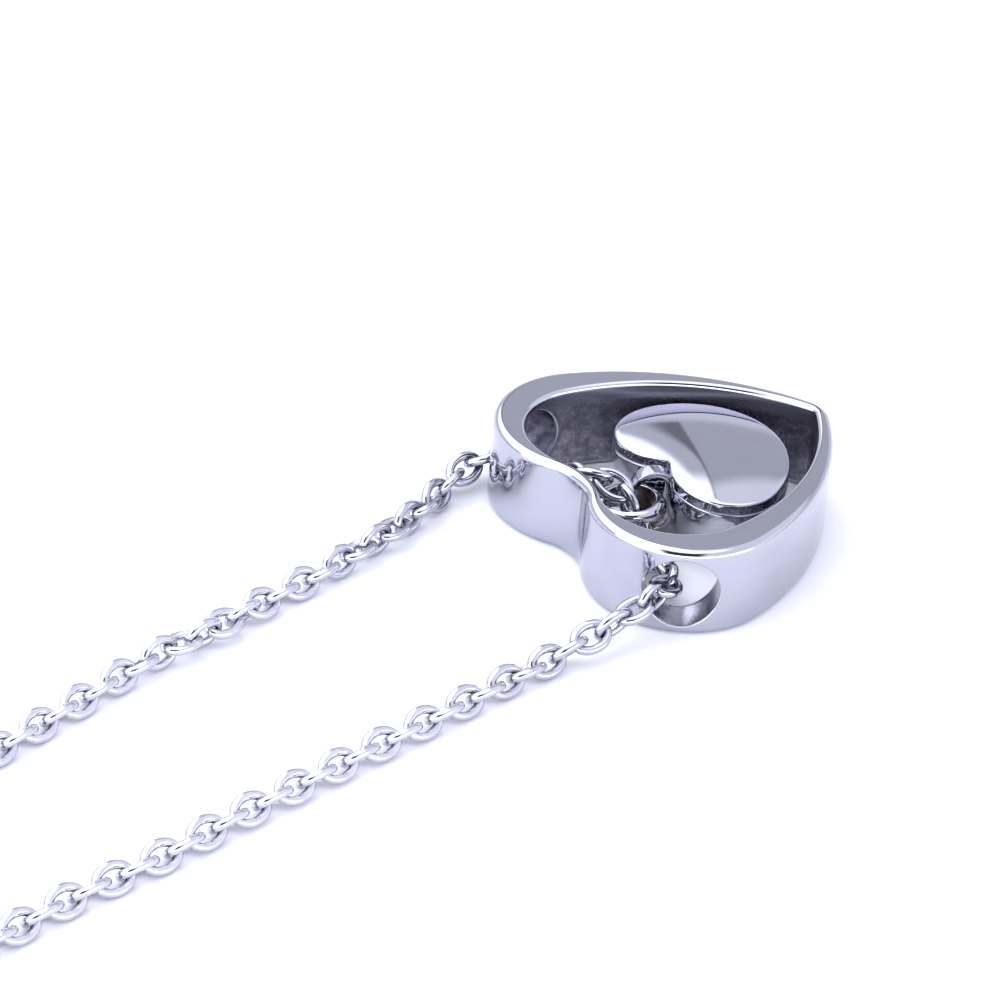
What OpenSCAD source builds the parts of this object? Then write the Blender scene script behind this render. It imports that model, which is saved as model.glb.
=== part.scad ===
// Keepsake urn pendant: a small hollow heart urn hangs on a bail inside an open heart band.
// One cable chain runs through both lobes of the band and through the bail, and round the neck.
// The pendant lies flat, tip towards +X, and the chain lies behind it towards -X.

/* [Open heart band] */
// height of the band
band_h = 5.7; // [5.4:0.1:6.2]
// rounding of the outer edges
band_edge = 0.5; // [0.2:0.1:0.6]
// rounding of the inner edges
bore_edge = 0.3; // [0.1:0.1:0.4]
// diameter of the chain hole through each lobe
lobe_hole_d = 4.5; // [4.2:0.1:4.6]
// direction of each lobe hole from the middle of its lobe, measured from +X
lobe_hole_turn = 126; // [122:1:130]

/* [Heart urn] */
// height of the urn at the middle of its domed face
urn_h = 5.1; // [4.8:0.1:5.4]
// radius of the domed face
face_r = 26; // [22:1:32]
// size of the flat underside beside the full outline
under_f = 0.66; // [0.6:0.02:0.74]
// height at which the underside reaches the full outline
under_h = 3.6; // [3.2:0.1:3.8]
// size of the hollow beside the full outline
cavity_f = 0.62; // [0.55:0.01:0.64]
// turn of the urn inside the band
urn_turn = 5; // [3:1:6]

/* [Fill screw] */
// diameter of the fill screw
screw_d = 3; // [2.6:0.1:3.2]
// length of the fill screw
screw_l = 1.8; // [1.6:0.1:2.0]

/* [Bail] */
// inner diameter of the bail
bail_id = 3.1; // [3.0:0.05:3.15]
// thickness of the bail's wall
bail_wall = 0.42; // [0.38:0.02:0.44]
// height of the bail at its narrow side
bail_narrow = 0.6; // [0.5:0.05:0.65]
// height of the bail at its wide side
bail_wide = 1.3; // [1.1:0.05:1.35]

/* [Chain] */
// diameter of the link wire
wire_d = 0.48; // [0.44:0.02:0.5]
// outer width of a link
link_w = 1.98; // [1.9:0.02:2.0]
// outer length of a link
link_l = 2.8; // [2.76:0.02:2.84]
// distance from one link to the next
link_pitch = 1.64; // [1.62:0.01:1.66]
// diameter of the round line that stands for the chain behind the neck
back_d = 1.5; // [1.2:0.1:1.6]

/* [Hidden] */
$fn = 48;
steel = [0.78, 0.79, 0.84];
dark_steel = [0.62, 0.62, 0.68];
big = 60;
cut = 1;

// A heart outline is [lobe spread, lobe radius, side radius, side angle, notch radius, tip radius].
band_outline = [5.0, 5.9, 20, 73.5, 3.4, 2.4];
bore_outline = [3.85, 4.7, 16, 84, 4.5, 0.5];
urn_outline = [2.6, 3.45, 6.4, 70, 0.57, 0.6];
arc_steps = [4, 8, 14, 6];
bore_shift = 0.1;
edge_steps = 4;
bore_steps = 3;
lobe_hole_z = band_h / 2;
lobe_hole_from = 2.5;
lobe_hole_l = 6;

// step from the middle between the lobe middles to the middle of the whole laid object
set_down = [99.8, 35.5, 0];

urn_pos = [4.9, 0.5, 0];
dome_mid = 1.3;
under_steps = 6;
dome_steps = 4;
cavity_low = 1.3;
cavity_high = urn_h - 1.3;
fit_gap = 0.1;
slot_w = 0.5;
slot_depth = 0.5;

loop_mid = [-3.35, 2.25];
loop_r = 1.15;
loop_tall = 3.9;
loop_wall = 0.38;
loop_w = 1.1;

bail_pos = [-0.3, 0, 2.75];
bail_turn = -36;
bail_tilt = 5;
bail_top = 0.3;
wide_turn = 10;
bail_r = bail_id / 2 + bail_wall;

link_sides = 12;
wire_sides = 5;
curve_steps = 10;
back_sides = 8;
back_step = 4.5;
tiny = 0.001;

clasp_pos = [-211, -46, 1.6];
clasp_turn = 100;
clasp_r = 1.6;
clasp_l = 8;
eye_r = 1.35;
eye_hole = 0.75;
eye_t = 0.7;
eye_out = clasp_l / 2 + 0.8;
eye_hole_out = eye_out + 0.1;
eye_root = 1;

// Line of the linked chain from the left strand through the band and the bail to the front strand:
// [x, y, z, roll of the links about the line]
link_route = [
    [-51.7, -4.9, 0.8, 45],
    [-44.3, -2.7, 0.8, 45],
    [-38.3, -0.8, 0.8, 45],
    [-35.1, 0.2, 0.9, 35],
    [-31.7, 1.2, 1.0, 15],
    [-28.9, 1.6, 1.0, -10],
    [-25.7, 2.5, 1.0, -30],
    [-22.6, 3.4, 0.8, -45],
    [-19.5, 4.1, 0.9, -55],
    [-16.2, 5.1, 1.0, -75],
    [-12.9, 6.2, 1.0, -90],
    [-10.2, 7.4, 1.0, -55],
    [-8.9, 8.1, 0.9, -65],
    [-6.6, 9.3, 1.1, -25],
    [-5.9, 9.8, 1.2, -25],
    [-4.5, 9.6, 1.6, -60],
    [-2.9, 8.9, 1.8, -65],
    [-2.2, 6.9, 1.6, -45],
    [-2.6, 6.4, 1.4, -95],
    [-2.4, 5.3, 1.8, -55],
    [-2.7, 4.3, 2.6, -75],
    [-2.4, 3.4, 3.4, 5],
    [-2.3, 2.7, 3.6, -40],
    [-1.9, 1.9, 4.0, -15],
    [-0.8, 1.0, 3.7, -50],
    [-0.6, 0.2, 3.3, -30],
    [-0.4, -0.7, 2.0, 5],
    [-0.7, -1.9, 1.2, 5],
    [-0.6, -3.0, 0.8, -55],
    [-1.1, -4.2, 1.2, 20],
    [-2.0, -6.2, 1.7, -65],
    [-3.1, -8.2, 2.5, -60],
    [-3.5, -8.4, 2.6, -115],
    [-3.7, -8.5, 2.6, -110],
    [-4.9, -9.0, 2.6, -85],
    [-7.8, -9.4, 1.9, -95],
    [-8.8, -9.4, 1.6, -50],
    [-10.5, -9.5, 1.3, -60],
    [-12.6, -9.7, 0.9, -35],
    [-15.9, -10.3, 0.9, -35],
    [-22.3, -11.6, 0.9, -40],
    [-28.8, -12.9, 0.9, -45],
    [-35.3, -14.2, 0.9, -45],
    [-41.7, -15.6, 0.8, -45],
    [-48.2, -16.7, 0.8, -45],
    [-57.1, -18.9, 0.8, -45]
];

// Line of the chain behind the neck, from the left strand round the clasp to the front strand
back_left = [
    [-52.5, -5.1, 0.8],
    [-75, -6, 0.8],
    [-100, 1, 0.8],
    [-125, 8, 0.8],
    [-150, 9, 0.8],
    [-175, 2, 0.8],
    [-195, -13, 0.8],
    [-207.5, -28.5, 1],
    [-212.1, -39.6, 1.4]
];
back_right = [
    [-57.7, -19.1, 0.8],
    [-78, -29, 0.8],
    [-100, -45, 0.8],
    [-122, -62, 0.8],
    [-148, -76, 0.8],
    [-175, -81, 0.8],
    [-195, -75, 0.8],
    [-206, -63.5, 1],
    [-209.9, -52.3, 1.4]
];

function unit(v) = v / norm(v);

// points of an arc about a middle, without its last point
function arc(mid, r, a0, a1, steps) =
    [for (k = [0:steps - 1]) let (a = a0 + (a1 - a0) * k / steps) mid + r * [cos(a), sin(a)]];

// Heart outline at a depth inside the given one: tip, side, lobe and notch, then the same mirrored
function heart_ring(outline, depth) = let (
    lobe = [0, outline[0]],
    lobe_r = outline[1],
    side_r = outline[2],
    side_a = outline[3],
    notch_r = outline[4],
    tip_r = outline[5],
    side = lobe - (side_r - lobe_r) * [cos(side_a), sin(side_a)],
    tip_x = side[0] + sqrt(pow(side_r - tip_r, 2) - pow(side[1], 2)),
    notch_x = -sqrt(pow(lobe_r + notch_r, 2) - pow(lobe[1], 2)),
    tip_a = asin(-side[1] / (side_r - tip_r)),
    notch_a = asin(lobe[1] / (lobe_r + notch_r)),
    half = concat(
        arc([tip_x, 0], tip_r - depth, 0, tip_a, arc_steps[0]),
        arc(side, side_r - depth, tip_a, side_a, arc_steps[1]),
        arc(lobe, lobe_r - depth, side_a, 180 + notch_a, arc_steps[2]),
        arc([notch_x, 0], notch_r + depth, notch_a, 0, arc_steps[3]),
        [[notch_x + notch_r + depth, 0]]
    ),
    last = len(half) - 1
) concat(half, [for (i = [last - 1:-1:1]) [half[i][0], -half[i][1]]]);

function raised(ring, z) = [for (p = ring) [p[0], p[1], z]];
function scaled(ring, f) = [for (p = ring) [dome_mid + f * (p[0] - dome_mid), f * p[1]]];

// Edge lines from low to high: [depth inside the outline, height]
function band_edge_line() = concat(
    [for (k = [0:edge_steps]) let (a = 90 * k / edge_steps)
        band_edge * [1 - sin(a), 0] + [0, band_edge * (1 - cos(a))]],
    [for (k = [0:edge_steps]) let (a = 90 * k / edge_steps)
        [band_edge * (1 - cos(a)), band_h - band_edge * (1 - sin(a))]]
);
function bore_edge_line() = concat(
    [for (k = [0:bore_steps]) let (a = 90 * k / bore_steps)
        [-bore_edge * (1 - sin(a)), bore_edge * (1 - cos(a))]],
    [for (k = [0:bore_steps]) let (a = 90 * k / bore_steps)
        [-bore_edge * (1 - cos(a)), band_h - bore_edge * (1 - sin(a))]]
);

// smooth curve through the route's points, each with its roll where it has one
function blend(p0, p1, p2, p3, t) =
    0.5 * (2 * p1 + (p2 - p0) * t + (2 * p0 - 5 * p1 + 4 * p2 - p3) * t * t
        + (3 * p1 - p0 - 3 * p2 + p3) * t * t * t);
function curve(route) = let (
    last = len(route) - 1,
    ends = concat([2 * route[0] - route[1]], route, [2 * route[last] - route[last - 1]])
) concat(
    [for (i = [0:last - 1], k = [0:curve_steps - 1])
        blend(ends[i], ends[i + 1], ends[i + 2], ends[i + 3], k / curve_steps)],
    [route[last]]
);
function place(p) = [p[0], p[1], p[2]];
function run(c, i) = i < len(c) ? norm(place(c[i]) - place(c[i - 1])) : 0;
function run_lengths(c) = [for (i = 0, s = 0; i < len(c); i = i + 1, s = s + run(c, i)) s];
function table(c, s, column) = [for (i = [0:len(c) - 1]) [s[i], c[i][column]]];

// points on the curve a step apart, with all columns of the route
function spaced(route, step, columns) = let (
    c = curve(route),
    s = run_lengths(c),
    tables = [for (j = [0:columns - 1]) table(c, s, j)]
) [for (at = [0:step:s[len(s) - 1]]) [for (t = tables) lookup(at, t)]];
function route_length(route) = let (s = run_lengths(curve(route))) s[len(s) - 1];

// one link between two joints: rings of the wire round a long oval
function link_points(a, b, roll) = let (
    along = unit(place(b) - place(a)),
    mid = (place(a) + place(b)) / 2,
    up = unit([0, 0, 1] - along[2] * along),
    side = cross(up, along),
    wide = cos(roll) * up + sin(roll) * side,
    flat = cross(along, wide),
    half_w = (link_w - wire_d) / 2,
    straight = (link_l - link_w) / 2,
    half_sides = link_sides / 2
) [for (end = [0, 1], k = [0:half_sides - 1]) let (
    a = -90 + 180 * k / (half_sides - 1) + 180 * end,
    shift = end == 0 ? straight : -straight,
    out = cos(a) * along + sin(a) * wide,
    centre = mid + shift * along + half_w * out
) for (j = [0:wire_sides - 1]) let (t = 360 * j / wire_sides)
    centre + wire_d / 2 * (cos(t) * out + sin(t) * flat)];
function link_faces(first) =
    [for (face = skin_faces(link_sides, wire_sides, true)) [for (corner = face) first + corner]];

// round line along the given rings of points
function tube_points(c, r, sides) = [for (i = [0:len(c) - 1]) let (
    before = c[max(i - 1, 0)],
    after = c[min(i + 1, len(c) - 1)],
    along = unit(after - before),
    side = unit(cross(along, [0, 0, 1])),
    up = cross(side, along)
) for (j = [0:sides - 1]) let (t = 360 * (j + 0.5) / sides) c[i] + r * (cos(t) * side + sin(t) * up)];
function tube_faces(rings, sides) = concat(
    [for (i = [0:rings - 2], j = [0:sides - 1]) let (j2 = (j + 1) % sides)
        [i * sides + j, i * sides + j2, (i + 1) * sides + j2, (i + 1) * sides + j]],
    [[for (j = [sides - 1:-1:0]) j]],
    [[for (j = [0:sides - 1]) (rings - 1) * sides + j]]
);

// skin between rings of as many points each, in the order outward faces need
function skin_faces(rings, n, closed) = let (
    last = closed ? rings - 1 : rings - 2
) [for (i = [0:last], j = [0:n - 1]) let (
    i2 = (i + 1) % rings,
    j2 = (j + 1) % n
) [i * n + j, i2 * n + j, i2 * n + j2, i * n + j2]];
function fan_faces(first, n, middle, up) = [for (j = [0:n - 1]) let (j2 = (j + 1) % n)
    up ? [first + j2, first + j, middle] : [first + j, first + j2, middle]];

module stack(rings, low_z, high_z) {
    n = len(rings[0]);
    count = len(rings);
    points = concat([for (r = rings) each r], [[dome_mid, 0, low_z], [dome_mid, 0, high_z]]);
    polyhedron(points, concat(
        skin_faces(count, n, false),
        fan_faces(0, n, count * n, false),
        fan_faces((count - 1) * n, n, count * n + 1, true)
    ));
}

module laid() {
    translate(set_down) children();
}

module band_body() {
    outer = [for (e = band_edge_line()) raised(heart_ring(band_outline, e[0]), e[1])];
    bore = [for (e = bore_edge_line()) raised(heart_ring(bore_outline, e[0]), e[1])];
    shifted = [for (i = [len(bore) - 1:-1:0]) [for (p = bore[i]) p + [bore_shift, 0, 0]]];
    rings = concat(outer, shifted);
    polyhedron([for (r = rings) each r], skin_faces(len(rings), len(rings[0]), true));
}

module lobe_hole(s) {
    translate([0, s * band_outline[0], lobe_hole_z]) rotate([0, 0, s * lobe_hole_turn])
        rotate([0, 90, 0]) translate([0, 0, lobe_hole_from])
            cylinder(h = lobe_hole_l, d = lobe_hole_d);
}

module outer_heart() {
    color(steel) laid() difference() {
        band_body();
        for (s = [-1, 1]) lobe_hole(s);
    }
}

module at_urn() {
    translate(urn_pos) rotate([0, 0, urn_turn]) children();
}

module half_ring() {
    rotate_extrude(angle = 180) translate([loop_r - loop_wall, -loop_w / 2]) square([loop_wall, loop_w]);
}

// oval strap soldered into the notch, with its hole across the urn
module urn_loop() {
    straight = loop_tall - 2 * loop_r;
    translate([loop_mid[0], 0, loop_mid[1]]) rotate([90, 0, 0]) {
        translate([0, straight / 2, 0]) half_ring();
        translate([0, -straight / 2, 0]) rotate([0, 0, 180]) half_ring();
        for (s = [-1, 1]) translate([s * (loop_r - loop_wall / 2), 0, 0])
            cube([loop_wall, straight, loop_w], center = true);
    }
}

function dome_z(p) = urn_h - face_r + sqrt(pow(face_r, 2) - pow(p[0] - dome_mid, 2) - pow(p[1], 2));

// round underside, upright edge and domed face, as scaled outlines about the middle of the dome
module urn_body() {
    edge = heart_ring(urn_outline, 0);
    under = [for (k = [0:under_steps - 1]) let (a = 90 * k / under_steps)
        raised(scaled(edge, under_f + (1 - under_f) * sin(a)), under_h * (1 - cos(a)))];
    dome = [for (k = [0:dome_steps - 1]) let (ring = scaled(edge, 1 - k / dome_steps))
        [for (p = ring) [p[0], p[1], dome_z(p)]]];
    stack(concat(under, dome), 0, urn_h);
}

module cavity() {
    ring = scaled(heart_ring(urn_outline, 0), cavity_f);
    stack([raised(ring, cavity_low), raised(ring, cavity_high)], cavity_low, cavity_high);
}

module urn_heart() {
    color(steel) laid() at_urn() difference() {
        union() {
            urn_body();
            urn_loop();
        }
        cavity();
        translate([dome_mid, 0, -cut]) cylinder(h = cavity_low + 2 * cut, d = screw_d + 2 * fit_gap);
    }
}

module fill_screw() {
    color(dark_steel) laid() at_urn() translate([dome_mid, 0, fit_gap]) difference() {
        cylinder(h = screw_l, d = screw_d);
        translate([-screw_d, -slot_w / 2, -cut]) cube([2 * screw_d, slot_w, slot_depth + cut]);
    }
}

module at_bail() {
    translate(bail_pos) rotate([0, 0, bail_turn]) rotate([0, -bail_tilt, 0]) children();
}

module bail() {
    fall = atan((bail_wide - bail_narrow) / (2 * bail_r));
    low = (bail_wide + bail_narrow) / 2 - bail_top;
    color(steel) laid() at_bail() difference() {
        translate([0, 0, bail_top - 2 * bail_wide]) cylinder(h = 2 * bail_wide, r = bail_r);
        translate([0, 0, -big / 2]) cylinder(h = big, d = bail_id);
        rotate([0, 0, wide_turn]) translate([0, 0, -low]) rotate([0, fall, 0])
            translate([-big / 2, -big / 2, -big]) cube(big);
    }
}

// every second link is turned a quarter about the line
function link_roll(joints, i) = (joints[i][3] + joints[i + 1][3]) / 2 + 90 * (i % 2);

module chain_links() {
    joints = spaced(link_route, link_pitch, 4);
    count = len(joints) - 1;
    points = [for (i = [0:count - 1]) each link_points(joints[i], joints[i + 1], link_roll(joints, i))];
    faces = [for (i = [0:count - 1]) each link_faces(i * link_sides * wire_sides)];
    color(steel) laid() polyhedron(points, faces);
}

module back_line(route) {
    all = route_length(route);
    rings = spaced(route, all / ceil(all / back_step) - tiny, 3);
    polyhedron(tube_points(rings, back_d / 2, back_sides), tube_faces(len(rings), back_sides));
}

module chain_back() {
    color(steel) laid() {
        back_line(back_left);
        back_line(back_right);
    }
}

// flat eye whose root runs into the barrel
module eye() {
    root = clasp_l / 2 - eye_root;
    translate([eye_out, 0, -eye_t / 2]) cylinder(h = eye_t, r = eye_r);
    translate([root, -eye_r, -eye_t / 2]) cube([eye_out - root, 2 * eye_r, eye_t]);
}

// round barrel with a flat eye at each end
module clasp() {
    color(steel) laid() translate(clasp_pos) rotate([0, 0, clasp_turn]) difference() {
        union() {
            translate([-clasp_l / 2, 0, 0]) rotate([0, 90, 0]) cylinder(h = clasp_l, r = clasp_r);
            eye();
            rotate([0, 0, 180]) eye();
        }
        for (s = [-1, 1]) translate([s * eye_hole_out, 0, -cut]) cylinder(h = 2 * cut, r = eye_hole);
    }
}

outer_heart();
urn_heart();
fill_screw();
bail();
chain_links();
chain_back();
clasp();
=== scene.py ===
import math

import bmesh
import bpy
import numpy as np
from mathutils import Matrix, Vector


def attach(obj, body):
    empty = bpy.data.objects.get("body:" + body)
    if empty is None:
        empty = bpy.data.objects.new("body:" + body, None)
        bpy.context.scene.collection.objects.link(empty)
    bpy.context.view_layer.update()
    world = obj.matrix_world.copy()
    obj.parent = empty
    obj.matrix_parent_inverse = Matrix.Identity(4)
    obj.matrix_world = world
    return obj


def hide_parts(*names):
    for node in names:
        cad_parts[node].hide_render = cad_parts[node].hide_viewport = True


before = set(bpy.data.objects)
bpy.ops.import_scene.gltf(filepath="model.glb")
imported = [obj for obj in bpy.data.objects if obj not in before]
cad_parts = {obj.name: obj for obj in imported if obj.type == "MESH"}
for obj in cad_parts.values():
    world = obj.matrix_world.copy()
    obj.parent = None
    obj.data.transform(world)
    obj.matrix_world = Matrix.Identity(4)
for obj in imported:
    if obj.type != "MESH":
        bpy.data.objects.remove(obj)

scene = bpy.context.scene
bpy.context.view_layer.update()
mm = 0.001
setDown = Vector((99.8, 35.5, 0)) * mm  # from the middle between the lobes to the frame's origin


# Shader tools: a socket that can be added, multiplied and compared, and one method for any node

class Sock:
    def __init__(self, tree, out):
        self.tree = tree
        self.out = out

    def math(self, operation, *others):
        node = self.tree.nodes.new("ShaderNodeMath")
        node.operation = operation
        for socket, value in zip(node.inputs, (self, *others)):
            plug(self.tree, socket, value)
        return Sock(self.tree, node.outputs[0])

    def __add__(self, other): return self.math("ADD", other)
    def __radd__(self, other): return self.math("ADD", other)
    def __sub__(self, other): return self.math("SUBTRACT", other)
    def __rsub__(self, other): return (self * -1).math("ADD", other)
    def __mul__(self, other): return self.math("MULTIPLY", other)
    def __rmul__(self, other): return self.math("MULTIPLY", other)

    def step(self, low, high):  # smooth 0 to 1 between two values
        node = self.tree.nodes.new("ShaderNodeMapRange")
        node.interpolation_type = "SMOOTHSTEP"
        plug(self.tree, node.inputs["Value"], self)
        plug(self.tree, node.inputs["From Min"], low)
        plug(self.tree, node.inputs["From Max"], high)
        return Sock(self.tree, node.outputs[0])


def plug(tree, socket, value):
    if isinstance(value, Sock):
        tree.links.new(value.out, socket)
    else:
        socket.default_value = value


class Shade:
    def __init__(self, tree):
        self.tree = tree
        self.tree.nodes.clear()

    def node(self, kind, settings=None, out=0, **values):  # _0, _1 and so on name a socket by its number
        made = self.tree.nodes.new(kind)
        for key, value in (settings or {}).items():
            setattr(made, key, value)
        for key, value in values.items():
            name = key.replace("_", " ")
            plug(self.tree, made.inputs[int(name[1:])] if name[1:].isdigit() else made.inputs[name], value)
        return Sock(self.tree, made.outputs[out])

    def mix(self, factor, colourA, colourB):
        a, b = [(*c, 1) if isinstance(c, tuple) else c for c in (colourA, colourB)]
        return self.node("ShaderNodeMix", {"data_type": "RGBA"}, out=2, _0=factor, _6=a, _7=b)

    def surface(self, shader, kind="ShaderNodeOutputMaterial"):
        output = self.tree.nodes.new(kind)
        self.tree.links.new(shader.out, output.inputs["Surface"])


def newMaterial(name):
    material = bpy.data.materials.new(name)
    material.use_nodes = True
    return material, Shade(material.node_tree)


# Finishes: colours, noise scales per metre, roughness and the strength of bumps

polishedLook = {
    "colour": (0.465, 0.472, 0.515),
    "smudge": (0.44, 0.446, 0.49),
    "rough": 0.045,
    "smudgeRough": 0.04,
    "smudgeAt": (0.45, 0.75),  # range of the noise over which the smudge comes in
    "cloudScale": 260.0,
    "fineScale": 4200.0,
    "bump": 0.02,
    "bumpDeep": 0.01 * mm,
}
plainLook = {  # steel without polish, by material name
    "castSteel": {"light": (0.40, 0.385, 0.44), "dark": (0.175, 0.165, 0.20), "rough": 0.36, "bump": 0.5},
    "boredSteel": {"light": (0.31, 0.30, 0.345), "dark": (0.40, 0.385, 0.44), "rough": 0.26, "bump": 0.2},
    "strapSteel": {"light": (0.34, 0.34, 0.385), "dark": (0.40, 0.385, 0.44), "rough": 0.16, "bump": 0.0},
    "turnedSteel": {"light": (0.37, 0.37, 0.41), "dark": (0.40, 0.385, 0.44), "rough": 0.3, "bump": 0.1},
    # painted reflection: the brown tones of the bail's and the strap's inner faces stand in for the brownish
    # reflection inside them
    "insideBrownReflection": {"light": (0.56, 0.49, 0.47), "dark": (0.30, 0.26, 0.25), "rough": 0.34, "bump": 0.1},
}
mottling = {
    "blotchScale": 900.0,
    "blotchAt": (0.35, 0.68),
    "grainScale": 7000.0,
    "grainShare": 0.5,
    "bumpDeep": 0.04 * mm,
    "gloss": 0.14,  # how much smoother the light spots are
    "fade": 0.6 * mm,
    "castPlainFrom": 4.3 * mm,  # the mottling of the band's inside ends below the rim
}
wireLook = {
    "colour": (0.60, 0.60, 0.64),
    "smudge": (0.53, 0.53, 0.575),
    "nearShadeColour": (0.42, 0.42, 0.46),  # painted shade: the links close to the pendant are darker
    "nearShadeReach": (6 * mm, 30 * mm),
    "rough": 0.09,
    "drawnScale": 1500.0,
    "drawnAt": (0.4, 0.7),
    "drawnRough": 0.06,
}


def polishedSteel():
    material, shade = newMaterial("polishedSteel")
    look = polishedLook
    where = shade.node("ShaderNodeTexCoord", out=3)
    cloud = shade.node("ShaderNodeTexNoise", Vector=where, Scale=look["cloudScale"], Detail=3.0)
    fine = shade.node("ShaderNodeTexNoise", Vector=where, Scale=look["fineScale"], Detail=2.0)
    smudge = cloud.step(*look["smudgeAt"])
    bump = shade.node("ShaderNodeBump", Strength=look["bump"], Distance=look["bumpDeep"], Height=fine)
    shade.surface(shade.node("ShaderNodeBsdfPrincipled", Metallic=1.0, Normal=bump,
                             Base_Color=shade.mix(smudge, look["colour"], look["smudge"]),
                             Roughness=look["rough"] + smudge * look["smudgeRough"]))
    return material


def plainSteel(name, plainFrom=1.0):  # mottled up to a height in metres, one tone above it
    material, shade = newMaterial(name)
    look, spots = plainLook[name], mottling
    where = shade.node("ShaderNodeTexCoord", out=3)
    height = shade.node("ShaderNodeSeparateXYZ", out=2, Vector=where)
    mottled = 1 - height.step(plainFrom, plainFrom + spots["fade"])
    blotch = shade.node("ShaderNodeTexNoise", Vector=where, Scale=spots["blotchScale"], Detail=4.0, Roughness=0.7)
    grain = shade.node("ShaderNodeTexNoise", Vector=where, Scale=spots["grainScale"], Detail=3.0)
    tone = 0.5 + (blotch.step(*spots["blotchAt"]) - 0.5) * mottled  # halfway where it is plain
    bump = shade.node("ShaderNodeBump", Strength=look["bump"], Distance=spots["bumpDeep"],
                      Height=(blotch + grain * spots["grainShare"]) * mottled)
    shade.surface(shade.node("ShaderNodeBsdfPrincipled", Metallic=1.0, Normal=bump,
                             Base_Color=shade.mix(tone, look["dark"], look["light"]),
                             Roughness=look["rough"] - tone * spots["gloss"]))
    return material


def wireSteel():
    material, shade = newMaterial("wireSteel")
    look = wireLook
    where = shade.node("ShaderNodeTexCoord", out=3)
    drawn = shade.node("ShaderNodeTexNoise", Vector=where, Scale=look["drawnScale"], Detail=2.0)
    colour = shade.mix(drawn.step(*look["drawnAt"]), look["colour"], look["smudge"])
    away = shade.node("ShaderNodeVectorMath", {"operation": "DISTANCE"}, out=1, _0=where, _1=tuple(setDown))
    # painted shade: the wire's colour darkens towards the pendant
    colour = shade.mix(away.step(*look["nearShadeReach"]), look["nearShadeColour"], colour)
    shade.surface(shade.node("ShaderNodeBsdfPrincipled", Base_Color=colour, Metallic=1.0,
                             Roughness=look["rough"] + drawn * look["drawnRough"]))
    return material


# Heart outlines and rings, in millimetres about the middle between the band's lobes

band = {
    "height": 5.7,
    "outline": {"spread": 5.0, "lobe": 5.9, "side": 20.0, "sideTurn": 73.5, "notch": 3.4, "tip": 2.4},
    "bore": {"spread": 3.85, "lobe": 4.7, "side": 16.0, "sideTurn": 84.0, "notch": 4.5, "tip": 0.5},
    "boreShift": 0.1,
    "edge": 0.5,
    "boreEdge": 0.3,
    "holeRadius": 2.25,
    "holeTurn": 126.0,
    "holeEdge": 0.07,
    "holeReach": 31.0,  # half the wall around a hole that is rebuilt, in degrees
    "rimStrip": 0.04,  # a narrow flat strip beside an edge keeps the rim's own normals flat
    "lobeStep": 1.6,  # degrees from column to column beside the rebuilt wall
    "ringShares": (0, 0.1, 0.25, 0.45, 0.7, 1),  # rings of that wall, from the hole to its border
    "sharp": 40,
    "steps": {"tip": 14, "side": 56, "patch": 40, "notch": 22, "edge": 8, "wall": 12, "lip": 4, "tube": 8},
}


def polar(middle, radius, degrees):
    a = math.radians(degrees)
    return (middle[0] + radius * math.cos(a), middle[1] + radius * math.sin(a))


def heartArcs(shape, depth):  # middle, radius and turn of each arc from the tip to the notch
    spread, lobeR, sideR = shape["spread"], shape["lobe"], shape["side"]
    side = polar((0, spread), -(sideR - lobeR), shape["sideTurn"])
    tipX = side[0] + math.sqrt((sideR - shape["tip"]) ** 2 - side[1] ** 2)
    notchX = -math.sqrt((lobeR + shape["notch"]) ** 2 - spread ** 2)
    tipTurn = math.degrees(math.asin(-side[1] / (sideR - shape["tip"])))
    notchTurn = math.degrees(math.asin(spread / (lobeR + shape["notch"])))
    return {
        "tip": ((tipX, 0), shape["tip"] - depth, 0, tipTurn),
        "side": (side, sideR - depth, tipTurn, shape["sideTurn"]),
        "lobe": ((0, spread), lobeR - depth, shape["sideTurn"], 180 + notchTurn),
        "notch": ((notchX, 0), shape["notch"] + depth, notchTurn, 0),
    }


def between(low, high, steps):
    return [low + (high - low) * k / steps for k in range(steps + 1)]


def halfHeart(shape, depth, turns):  # points of the half from the tip to the notch
    arcs = heartArcs(shape, depth)
    points = []
    for name in ("tip", "side", "lobe", "notch"):
        middle, radius, _, _ = arcs[name]
        points += [polar(middle, radius, a) for a in turns[name][:-1]]
    middle, radius, _, _ = arcs["notch"]
    return points + [polar(middle, radius, 0)]


def meshPiece(name, vertices, faces, materials, faceSlots=None, smooth=True):
    mesh = bpy.data.meshes.new(name)
    mesh.from_pydata([tuple(v) for v in vertices], [], faces)
    for material in materials:
        mesh.materials.append(material)
    if faceSlots:
        mesh.polygons.foreach_set("material_index", faceSlots)
    mesh.polygons.foreach_set("use_smooth", [smooth] * len(mesh.polygons))
    piece = bpy.data.objects.new(name, mesh)
    scene.collection.objects.link(piece)
    return piece


def settle(piece, merge=0.002 * mm, sharp=None):  # merge doubles, turn faces outwards
    work = bmesh.new()
    work.from_mesh(piece.data)
    bmesh.ops.remove_doubles(work, verts=work.verts, dist=merge)
    bmesh.ops.dissolve_degenerate(work, edges=work.edges, dist=merge * 0.1)
    bmesh.ops.recalc_face_normals(work, faces=work.faces)
    work.to_mesh(piece.data)
    work.free()
    if sharp is not None:
        piece.data.set_sharp_from_angle(angle=math.radians(sharp))
    return piece


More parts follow.
